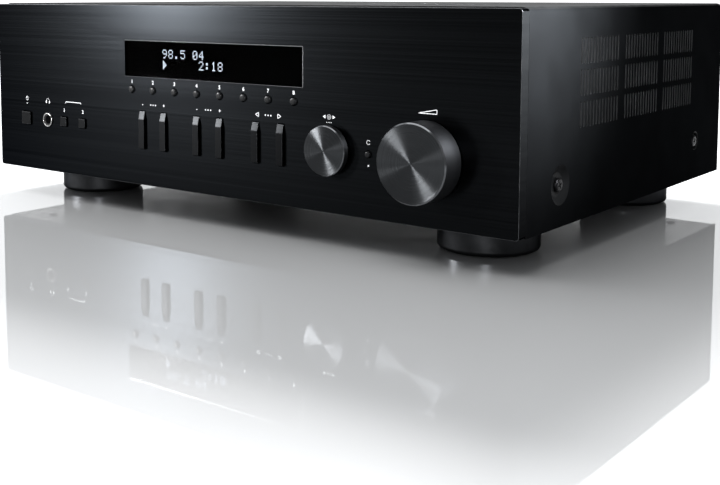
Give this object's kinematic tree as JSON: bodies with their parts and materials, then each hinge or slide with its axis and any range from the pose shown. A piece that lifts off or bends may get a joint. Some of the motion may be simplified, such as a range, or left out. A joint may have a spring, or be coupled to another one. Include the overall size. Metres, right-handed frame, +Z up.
{
  "type": "stereo receiver",
  "caption": "Full-width stereo receiver with a brushed black front, display window, push keys, two turning knobs and a vented steel cover on round feet.",
  "frame": {"origin": "under the middle of the whole object, on the surface that the feet stand on", "axes": "+X right seen from the front, +Y towards the rear panel, +Z up"},
  "size_m": [0.435, 0.34, 0.141],
  "materials": {
    "brushed_panel": "black anodised, brushed along its width",
    "spun_knob": "dark anodised, spun face",
    "black_key": "satin black",
    "smoked_window": "polished, dark clear",
    "display_glass": "smooth",
    "black_plastic": "fine moulded grain",
    "foot_plastic": "glossy black",
    "bright_ring": "polished",
    "black_paint": "satin black stove paint with a fine grain",
    "plated_steel": "zinc plated",
    "black_screw": "blackened steel",
    "circuit_board": "green solder mask",
    "laminated_core": "stacked laminations, varnished",
    "copper_winding": "enamelled wire under tape",
    "bare_aluminium": "extruded, unpainted",
    "can_sleeve": "shrunk sleeve",
    "red_plastic": "clear red over a plated core",
    "tinned_screen": null
  },
  "bodies": {
    "cabinet": {"front_panel": "brushed_panel", "front_frame": "black_plastic", "display_window": "smoked_window", "display_module": "display_glass", "phones_jack": "bright_ring", "volume_encoder": "plated_steel", "select_encoder": "plated_steel", "front_board": "circuit_board", "chassis_pan": "plated_steel", "top_cover": "black_paint", "rear_panel": "black_paint", "main_board": "circuit_board", "filter_capacitors": "can_sleeve", "transformer_core": "laminated_core", "transformer_winding": "copper_winding", "heat_sink": "bare_aluminium", "output_transistors": "black_plastic", "speaker_terminal_block": "black_plastic", "line_jack_block": "black_plastic", "mains_inlet": "black_plastic", "network_module": "tinned_screen", "cover_screw_front_left": "black_screw", "cover_screw_rear_left": "black_screw", "cover_screw_front_right": "black_screw", "cover_screw_rear_right": "black_screw", "foot_front_left": "foot_plastic", "foot_rear_left": "foot_plastic", "foot_front_right": "foot_plastic", "foot_rear_right": "foot_plastic"},
    "volume": {"volume_knob": "spun_knob", "volume_shaft": "plated_steel"},
    "select_push": {"select_plunger": "black_plastic"},
    "select": {"select_knob": "spun_knob", "select_shaft": "plated_steel"},
    "power": {"power_key": "black_key"},
    "speaker_a": {"speaker_a_key": "black_key"},
    "speaker_b": {"speaker_b_key": "black_key"},
    "display": {"display_key": "black_key"},
    "mode": {"mode_key": "black_key"},
    "memory": {"memory_key": "black_key"},
    "band": {"band_key": "black_key"},
    "preset_down": {"preset_down_key": "black_key"},
    "preset_up": {"preset_up_key": "black_key"},
    "tuning_down": {"tuning_down_key": "black_key"},
    "tuning_up": {"tuning_up_key": "black_key"},
    "return": {"return_key": "black_key"},
    "bass_down": {"bass_down_key": "black_key"},
    "bass_up": {"bass_up_key": "black_key"},
    "treble_down": {"treble_down_key": "black_key"},
    "treble_up": {"treble_up_key": "black_key"},
    "input_previous": {"input_previous_key": "black_key"},
    "input_next": {"input_next_key": "black_key"},
    "cap_1": {"terminal_cap_1": "red_plastic"},
    "cap_2": {"terminal_cap_2": "black_plastic"},
    "cap_3": {"terminal_cap_3": "black_plastic"},
    "cap_4": {"terminal_cap_4": "red_plastic"},
    "cap_5": {"terminal_cap_5": "red_plastic"},
    "cap_6": {"terminal_cap_6": "black_plastic"},
    "cap_7": {"terminal_cap_7": "black_plastic"},
    "cap_8": {"terminal_cap_8": "red_plastic"}
  },
  "joints": [
    {"name": "volume_turn", "type": "hinge", "parent": "cabinet", "child": "volume", "pos_m": [0.16121, -0.153, 0.0572], "axis": [0, 1, 0], "continuous": true},
    {"name": "select_press", "type": "slide", "parent": "cabinet", "child": "select_push", "axis": [0, 1, 0], "range_m": [0, 0.0006], "stiffness_N_per_m": 2500},
    {"name": "select_turn", "type": "hinge", "parent": "select_push", "child": "select", "pos_m": [0.094, -0.153, 0.0572], "axis": [0, 1, 0], "continuous": true},
    {"name": "power_press", "type": "slide", "parent": "cabinet", "child": "power", "axis": [0, 1, 0], "range_m": [0, 0.0015], "stiffness_N_per_m": 1200},
    {"name": "speaker_a_press", "type": "slide", "parent": "cabinet", "child": "speaker_a", "axis": [0, 1, 0], "range_m": [0, 0.001], "stiffness_N_per_m": 1500},
    {"name": "speaker_b_press", "type": "slide", "parent": "cabinet", "child": "speaker_b", "axis": [0, 1, 0], "range_m": [0, 0.001], "stiffness_N_per_m": 1500},
    {"name": "display_press", "type": "slide", "parent": "cabinet", "child": "display", "axis": [0, 1, 0], "range_m": [0, 0.0006], "stiffness_N_per_m": 2000},
    {"name": "mode_press", "type": "slide", "parent": "cabinet", "child": "mode", "axis": [0, 1, 0], "range_m": [0, 0.0006], "stiffness_N_per_m": 2000},
    {"name": "memory_press", "type": "slide", "parent": "cabinet", "child": "memory", "axis": [0, 1, 0], "range_m": [0, 0.0006], "stiffness_N_per_m": 2000},
    {"name": "band_press", "type": "slide", "parent": "cabinet", "child": "band", "axis": [0, 1, 0], "range_m": [0, 0.0006], "stiffness_N_per_m": 2000},
    {"name": "preset_down_press", "type": "slide", "parent": "cabinet", "child": "preset_down", "axis": [0, 1, 0], "range_m": [0, 0.0006], "stiffness_N_per_m": 2000},
    {"name": "preset_up_press", "type": "slide", "parent": "cabinet", "child": "preset_up", "axis": [0, 1, 0], "range_m": [0, 0.0006], "stiffness_N_per_m": 2000},
    {"name": "tuning_down_press", "type": "slide", "parent": "cabinet", "child": "tuning_down", "axis": [0, 1, 0], "range_m": [0, 0.0006], "stiffness_N_per_m": 2000},
    {"name": "tuning_up_press", "type": "slide", "parent": "cabinet", "child": "tuning_up", "axis": [0, 1, 0], "range_m": [0, 0.0006], "stiffness_N_per_m": 2000},
    {"name": "return_press", "type": "slide", "parent": "cabinet", "child": "return", "axis": [0, 1, 0], "range_m": [0, 0.0006], "stiffness_N_per_m": 2000},
    {"name": "bass_down_press", "type": "slide", "parent": "cabinet", "child": "bass_down", "axis": [0, 1, 0], "range_m": [0, 0.0008], "stiffness_N_per_m": 2000},
    {"name": "bass_up_press", "type": "slide", "parent": "cabinet", "child": "bass_up", "axis": [0, 1, 0], "range_m": [0, 0.0008], "stiffness_N_per_m": 2000},
    {"name": "treble_down_press", "type": "slide", "parent": "cabinet", "child": "treble_down", "axis": [0, 1, 0], "range_m": [0, 0.0008], "stiffness_N_per_m": 2000},
    {"name": "treble_up_press", "type": "slide", "parent": "cabinet", "child": "treble_up", "axis": [0, 1, 0], "range_m": [0, 0.0008], "stiffness_N_per_m": 2000},
    {"name": "input_previous_press", "type": "slide", "parent": "cabinet", "child": "input_previous", "axis": [0, 1, 0], "range_m": [0, 0.0008], "stiffness_N_per_m": 2000},
    {"name": "input_next_press", "type": "slide", "parent": "cabinet", "child": "input_next", "axis": [0, 1, 0], "range_m": [0, 0.0008], "stiffness_N_per_m": 2000},
    {"name": "cap_1_turn", "type": "hinge", "parent": "cabinet", "child": "cap_1", "pos_m": [-0.03349, 0.16, 0.0639], "axis": [0, 1, 0], "range_deg": [0, 1080]},
    {"name": "cap_2_turn", "type": "hinge", "parent": "cabinet", "child": "cap_2", "pos_m": [-0.05249, 0.16, 0.0639], "axis": [0, 1, 0], "range_deg": [0, 1080]},
    {"name": "cap_3_turn", "type": "hinge", "parent": "cabinet", "child": "cap_3", "pos_m": [-0.07149, 0.16, 0.0639], "axis": [0, 1, 0], "range_deg": [0, 1080]},
    {"name": "cap_4_turn", "type": "hinge", "parent": "cabinet", "child": "cap_4", "pos_m": [-0.09049, 0.16, 0.0639], "axis": [0, 1, 0], "range_deg": [0, 1080]},
    {"name": "cap_5_turn", "type": "hinge", "parent": "cabinet", "child": "cap_5", "pos_m": [-0.03349, 0.16, 0.0449], "axis": [0, 1, 0], "range_deg": [0, 1080]},
    {"name": "cap_6_turn", "type": "hinge", "parent": "cabinet", "child": "cap_6", "pos_m": [-0.05249, 0.16, 0.0449], "axis": [0, 1, 0], "range_deg": [0, 1080]},
    {"name": "cap_7_turn", "type": "hinge", "parent": "cabinet", "child": "cap_7", "pos_m": [-0.07149, 0.16, 0.0449], "axis": [0, 1, 0], "range_deg": [0, 1080]},
    {"name": "cap_8_turn", "type": "hinge", "parent": "cabinet", "child": "cap_8", "pos_m": [-0.09049, 0.16, 0.0449], "axis": [0, 1, 0], "range_deg": [0, 1080]}
  ]
}
